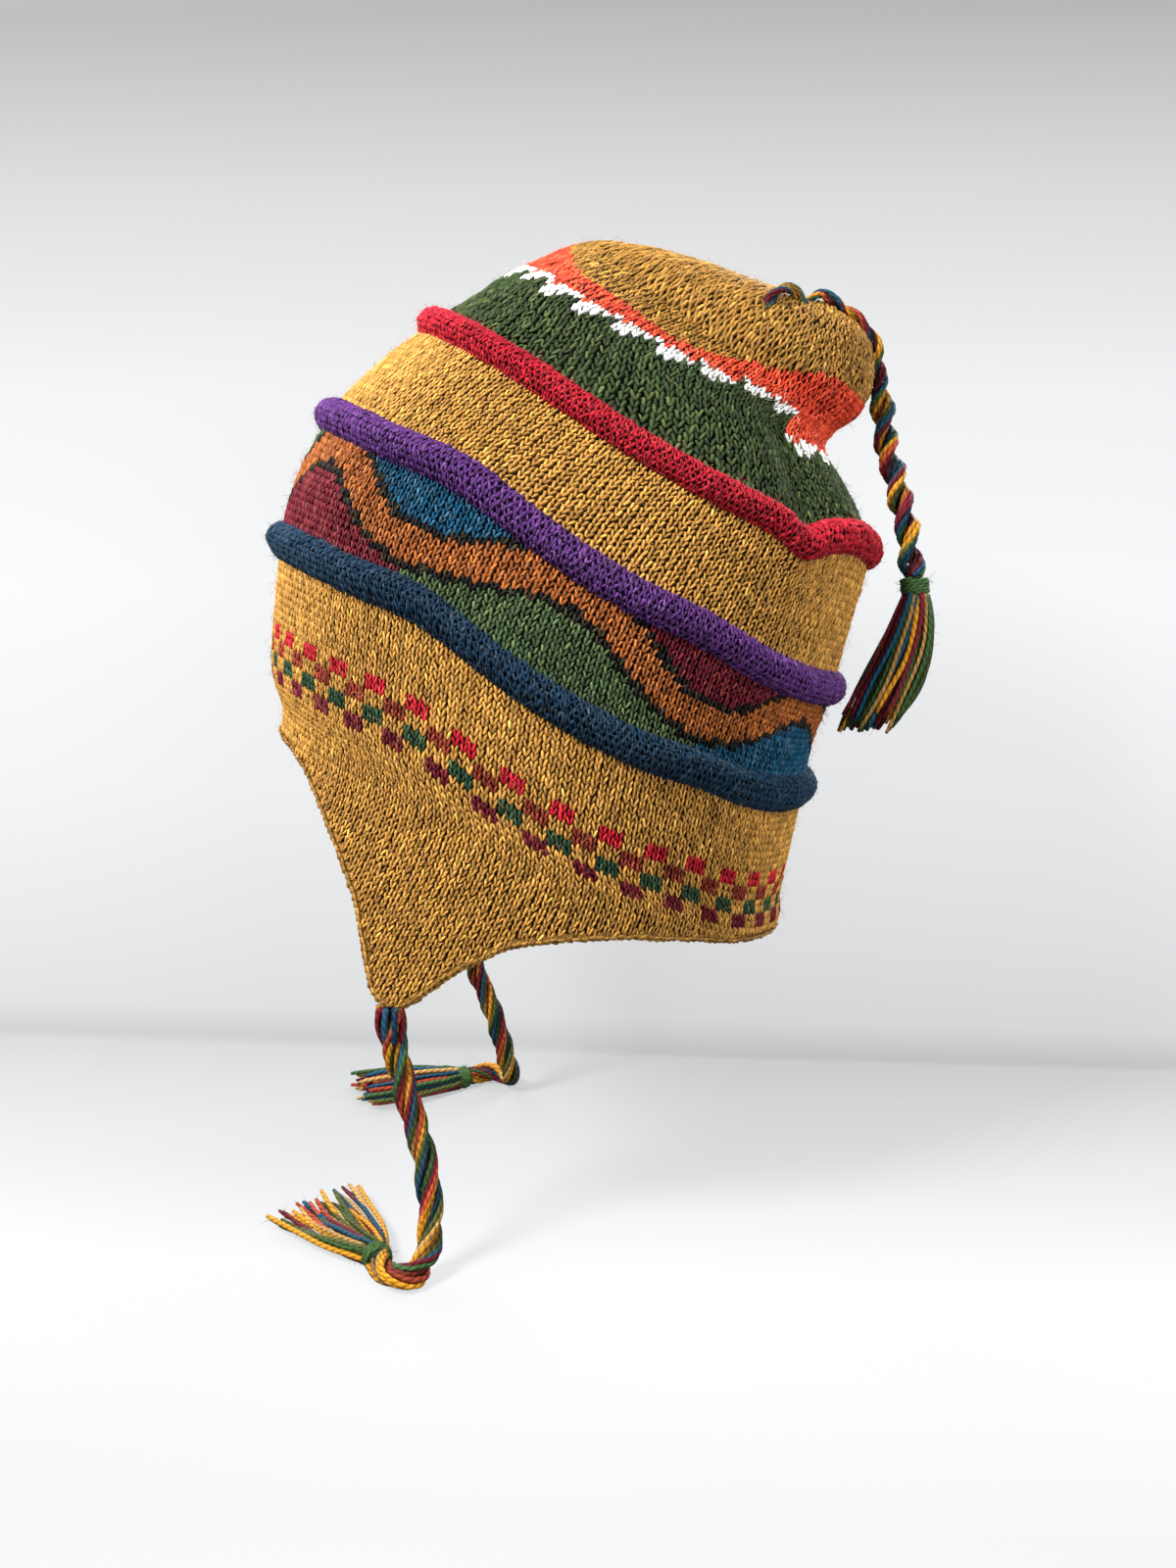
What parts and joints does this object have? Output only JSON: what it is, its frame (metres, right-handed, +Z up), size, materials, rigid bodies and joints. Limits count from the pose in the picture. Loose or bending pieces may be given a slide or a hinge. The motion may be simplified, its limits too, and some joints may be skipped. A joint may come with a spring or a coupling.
{
  "type": "chullo hat",
  "caption": "Knitted hat with ear flaps, raised welts, patterned bands, and braided ties and a crown braid that end in tassels",
  "frame": {"origin": "the middle of the head opening at the hem, where the hat sits on a head", "axes": "+Z up, -Y the way the wearer faces, +X the wearer's left"},
  "size_m": [0.1986, 0.2314, 0.3367],
  "materials": {
    "mustard_knit": "heathered alpaca and wool stocking stitch, slightly fuzzy",
    "navy_knit": "dense knitted welt, slightly fuzzy",
    "wave_knit": "stocking stitch in several colours",
    "purple_knit": "dense knitted welt, slightly fuzzy",
    "red_knit": "dense knitted welt, slightly fuzzy",
    "zigzag_knit": "stocking stitch in green, white and coral",
    "braid_yarn": "plied yarns of several colours, braided",
    "binding_yarn": "green yarn wound tight",
    "tassel_yarn": "loose plied yarn ends of several colours"
  },
  "bodies": {
    "root": {"earflap_band": "mustard_knit", "navy_ridge": "navy_knit", "wave_band": "wave_knit", "purple_ridge": "purple_knit", "middle_band": "mustard_knit", "red_ridge": "red_knit", "zigzag_band": "zigzag_knit", "crown_top": "mustard_knit", "top_braid": "braid_yarn", "top_tassel_binding": "binding_yarn", "top_tassel": "tassel_yarn", "left_tie_braid": "braid_yarn", "left_tie_binding": "binding_yarn", "left_tassel": "tassel_yarn", "right_tie_braid": "braid_yarn", "right_tie_binding": "binding_yarn", "right_tassel": "tassel_yarn"}
  },
  "joints": []
}
